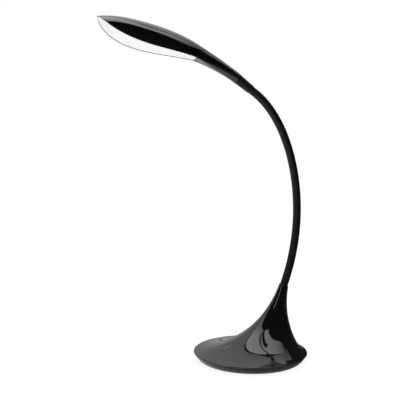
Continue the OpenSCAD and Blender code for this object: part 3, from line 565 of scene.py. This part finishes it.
# Sand-cast iron under black dip paint: rough and uneven
cast_iron = finish_of("cast_iron", "#1f1f20", "#3a3a3b", rough=(0.6, 0.8),
                      spot_mm=8, grain_mm=1.2, bump_mm=0.15, values={"IOR": 1.5})
# Rolled aluminium sheet: pale, with the rolling lines along one side
rolled_aluminium = finish_of("rolled_aluminium", "#b4b6b9", "#d0d1d3", rough=(0.25, 0.38),
                             spot_mm=6, grain_mm=0.4, bump_mm=0.008,
                             values={"Metallic": 1}, stretch=(0.1, 1, 1))
# Green solder mask on a glass-fibre board: the weave just shows through
glass_fibre_board = finish_of("glass_fibre_board", "#174a2b", "#236b3f", rough=(0.25, 0.4),
                              spot_mm=3, grain_mm=0.6, bump_mm=0.01, values={"IOR": 1.55})
# White solder mask: chalky and even
white_solder_mask = finish_of("white_solder_mask", "#dedcd6", "#efeee9", rough=(0.35, 0.45),
                              spot_mm=5, grain_mm=0.6, bump_mm=0.01, values={"IOR": 1.55})
# PVC lead insulation: smooth, soft and slightly creamy
pvc_insulation = finish_of("pvc_insulation", "#c4beb2", "#dad5cb", rough=(0.35, 0.48),
                           spot_mm=6, grain_mm=0.8, bump_mm=0.01, values={"IOR": 1.53})
# Closed-cell EVA foam: matt charcoal with open pores where it was cut
eva_foam = finish_of("eva_foam", "#1e1e1f", "#313132", rough=(0.85, 0.95),
                     spot_mm=7, grain_mm=0.8, bump_mm=0.12, values={"IOR": 1.45})
# Silicone with yellow phosphor over each LED
phosphor_silicone = finish_of("phosphor_silicone", "#e2c24f", "#f2da78", rough=(0.3, 0.45),
                              spot_mm=1.5, grain_mm=0.3, bump_mm=0.01, values={"IOR": 1.41})

FINISHES = {"gloss_abs": piano_black_abs, "tray_abs": satin_black_abs, "foam_rubber": eva_foam,
            "ballast_iron": cast_iron, "steel": zinc_plated_steel, "brass": turned_brass,
            "circuit_board": glass_fibre_board, "lead_pvc": pvc_insulation, "neck_rubber": silicone_rubber,
            "opal_acrylic": opal_acrylic, "aluminium": rolled_aluminium, "led_board_white": white_solder_mask,
            "led_phosphor": phosphor_silicone}

pieces = [build_cover(), *build_sleeve(), build_collar(), build_head_cover(), build_underside(), build_diffuser()]
for piece in pieces:
    piece.data.materials.clear()
    piece.data.materials.append(FINISHES[piece["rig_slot"]])
for row in frame["record"]["subparts"]:
    node = frame["nodes"][row["node"]]
    if not node.data.materials:
        node.data.materials.append(None)
    for i in range(len(node.data.materials)):
        node.data.materials[i] = FINISHES[row["material_slot"]]

# ---- Studio: pale floor, white surroundings, soft lights ----

# Half the floor's side, in metres, and the share of its own white in what the camera sees of it
FLOOR_HALF = 6
FLOOR_WHITE_SHARE = 0.8
# Painted light and painted shade on the floor, seen only by reflections: its glow falls from one strength to the
# other between these places along X, bright on the left and dark on the right
FLOOR_FADE = (-0.06, 0.07)
FLOOR_PAINTED_GLOW = (1.1, 0.12)
# Strengths, where 1 is white
FLOOR_WHITE = 1.12
WORLD_FILL = 0.55
DARK_ROOM = 0.03
# A ramp's colours end at 1, so a card is this many times as bright as its ramp
BRIGHTEST = 4
# Where the cards are set out from, a place low on the base, in metres
EYE_X, EYE_Y, EYE_Z = 0.03, -0.04, 0.04
SOFTBOX_Z = 1.5
BACKDROP_DEPTH = 1.24


def see_path(tree, *kinds):
    """1 for a ray of any of these kinds, else 0, as a (node, output) pair."""
    path = add(tree, "LightPath")
    total = (path, kinds[0])
    for kind in kinds[1:]:
        total = (add(tree, "Math", links={0: total, 1: (path, kind)}, operation="MAXIMUM"), "Value")
    return total


def card(name, corners, radiance, low=0, high=1, axis=2):
    """A flat card that only reflections see. Its light goes from low to high along an axis, in radiance steps."""
    bm = bmesh.new()
    bm.faces.new([bm.verts.new(c) for c in corners])
    made = to_object(name, bm)
    material = bpy.data.materials.new(name)
    tree = empty_tree(material)
    where = add(tree, "TexCoord")
    parts = add(tree, "SeparateXYZ", links={0: (where, "Object")})
    place = add(tree, "MapRange", {"From Min": low, "From Max": high}, {"Value": (parts, axis)})
    level = add(tree, "ValToRGB", links={"Fac": (place, "Result")})
    steps = level.color_ramp.elements
    while len(steps) < len(radiance):
        steps.new(0.5)
    for i, value in enumerate(radiance):
        steps[i].position = i / (len(radiance) - 1)
        steps[i].color = (value / BRIGHTEST, value / BRIGHTEST, value / BRIGHTEST, 1)
    glow = add(tree, "Emission", {"Strength": BRIGHTEST}, {"Color": (level, "Color")})
    add(tree, "OutputMaterial", links={"Surface": (glow, "Emission")})
    made.data.materials.append(material)
    for ray in ("camera", "diffuse", "transmission", "volume_scatter", "shadow"):
        setattr(made, "visible_" + ray, False)


def build_floor():
    """White paper for the camera; for reflections, painted light on the left and painted shade on the right."""
    bm = bmesh.new()
    bmesh.ops.create_grid(bm, x_segments=8, y_segments=8, size=FLOOR_HALF)
    floor = to_object("floor", bm)
    material = bpy.data.materials.new("white_paper_floor")
    tree = empty_tree(material)
    where = add(tree, "TexCoord")
    fibre = add(tree, "TexNoise", {"Scale": per(20), "Detail": 2}, {"Vector": (where, "Object")})
    tone = add(tree, "ValToRGB", links={"Fac": (fibre, "Fac")})
    for i, code in enumerate(("#f2f2f2", "#f6f6f6")):
        tone.color_ramp.elements[i].color = colour(code)
    paper = add(tree, "BsdfDiffuse", links={"Color": (tone, "Color")})
    white = add(tree, "Emission", {"Color": (1, 1, 1, 1), "Strength": FLOOR_WHITE})
    share = add(tree, "Math", {1: FLOOR_WHITE_SHARE}, {0: see_path(tree, "Is Camera Ray")}, operation="MULTIPLY")
    seen = add(tree, "MixShader", links={"Fac": (share, "Value"), 1: (paper, "BSDF"), 2: (white, "Emission")})
    parts = add(tree, "SeparateXYZ", links={0: (where, "Object")})
    # Painted light on the floor's left and painted shade on its right, which only reflections see
    painted_floor_light = add(tree, "MapRange", {"From Min": FLOOR_FADE[0], "From Max": FLOOR_FADE[1],
                                 "To Min": FLOOR_PAINTED_GLOW[0], "To Max": FLOOR_PAINTED_GLOW[1]}, {"Value": (parts, "X")})
    glow = add(tree, "Emission", links={"Strength": (painted_floor_light, "Result")})
    both = add(tree, "MixShader", links={"Fac": see_path(tree, "Is Glossy Ray"), 1: (seen, "Shader"),
                                         2: (glow, "Emission")})
    add(tree, "OutputMaterial", links={"Surface": (both, "Shader")})
    floor.data.materials.append(material)


def build_world():
    """White for the camera, a soft fill for diffuse rays, and a dark room for reflections."""
    world = bpy.data.worlds.new("studio")
    bpy.context.scene.world = world
    tree = empty_tree(world)
    fill, white, dark = (add(tree, "Background", {"Color": (1, 1, 1, 1), "Strength": strength})
                         for strength in (WORLD_FILL, 1, DARK_ROOM))
    seen = add(tree, "MixShader", links={"Fac": see_path(tree, "Is Camera Ray", "Is Transmission Ray"),
                                         1: (fill, "Background"), 2: (white, "Background")})
    both = add(tree, "MixShader", links={"Fac": see_path(tree, "Is Glossy Ray"), 1: (seen, "Shader"),
                                         2: (dark, "Background")})
    add(tree, "OutputWorld", links={"Surface": (both, "Shader")})


def area_light(name, at, target, size, watts):
    """A soft light that reflections don't see: cards stand in for it there."""
    data = bpy.data.lights.new(name, "AREA")
    data.shape = "RECTANGLE"
    data.size, data.size_y = size
    data.energy = watts
    light = bpy.data.objects.new(name, data)
    bpy.context.scene.collection.objects.link(light)
    light.location = at
    light.rotation_euler = (Vector(target) - Vector(at)).to_track_quat("-Z", "Y").to_euler()
    light.visible_glossy = False


def from_base(flat, height):
    """Corners of a level card at a height, from directions seen from the base, as [x, y] per metre up."""
    return [(EYE_X + x * (height - EYE_Z), EYE_Y + y * (height - EYE_Z), height) for x, y in flat]


def behind_base(sights, depth):
    """Corners of an upright card behind the base, from sights of [degrees right, degrees up] from the base."""
    return [(EYE_X + depth * math.tan(math.radians(a)), EYE_Y + depth,
             EYE_Z + depth / math.cos(math.radians(a)) * math.tan(math.radians(e))) for a, e in sights]


build_floor()
build_world()
area_light("overhead_light", at=(0.05, 0.35, 1.5), target=(0, 0, 0.2), size=(1.2, 0.9), watts=14)
# The big softbox, which the base mirrors on both sides of the neck's dark line
card("overhead_softbox",
     from_base([(-1.4, 1.28), (-0.41, 0.8), (0.25, 0.2), (0.9, 0.12), (0.85, -0.27), (0.62, -0.37),
                (-0.33, -0.33), (-0.58, 0.12)], SOFTBOX_Z),
     radiance=(1.6, 2.8, 2.8, 2.7, 2.4, 1.4, 0.4), low=-1.1, high=1.42, axis=0)
# The bright wall behind the lamp, which the flat of the base mirrors
card("rear_backdrop",
     behind_base([(-50, -3), (20, -3), (20, 10), (24, 25), (40, 45), (45, 55), (30, 67), (10, 67), (-10, 57),
                  (-30, 43), (-50, 30)], BACKDROP_DEPTH),
     radiance=(0.6, 0.55, 0.8, 1, 1.1, 1.1), low=0.1, high=2.2)
card("right_fill", [(1, 0.05, 0.96), (1, 1.2, 1.2), (1, 1.2, 3.3), (1, 0.6, 2.5), (1, 0.05, 1.15)],
     radiance=(0.5, 0.8, 1.2), low=1, high=2)
# The narrow light that runs down the trumpet
card("left_strip", [(-1.28, -0.3, 0.3), (-1.2, -0.5, 0.3), (-1.2, -0.5, 1.15), (-1.28, -0.3, 1.15)],
     radiance=(3, 3))
# A dark card that keeps the softbox off the head's side
card("head_flag", [(-0.26, -0.03, 0.505), (0.04, -0.027, 0.39), (0.04, -0.07, 0.39), (-0.26, -0.07, 0.505)],
     radiance=(0, 0))

# The camera's place, turn and lens, fitted to the rim of the base in the photograph
CAMERA_AT = (-0.2817, -0.8548, 0.27746)
CAMERA_TILT = 85.76
CAMERA_TURN = -14
LENS_MM = 61.98
SENSOR_MM = 36
camera = bpy.data.objects.new("camera", bpy.data.cameras.new("camera"))
bpy.context.scene.collection.objects.link(camera)
camera.location = CAMERA_AT
camera.rotation_euler = (math.radians(CAMERA_TILT), 0, math.radians(CAMERA_TURN))
camera.data.sensor_width = SENSOR_MM
camera.data.lens = LENS_MM
camera.data.clip_start = 0.01
camera.data.clip_end = 50
bpy.context.scene.camera = camera
bpy.context.scene.view_settings.view_transform = "Standard"
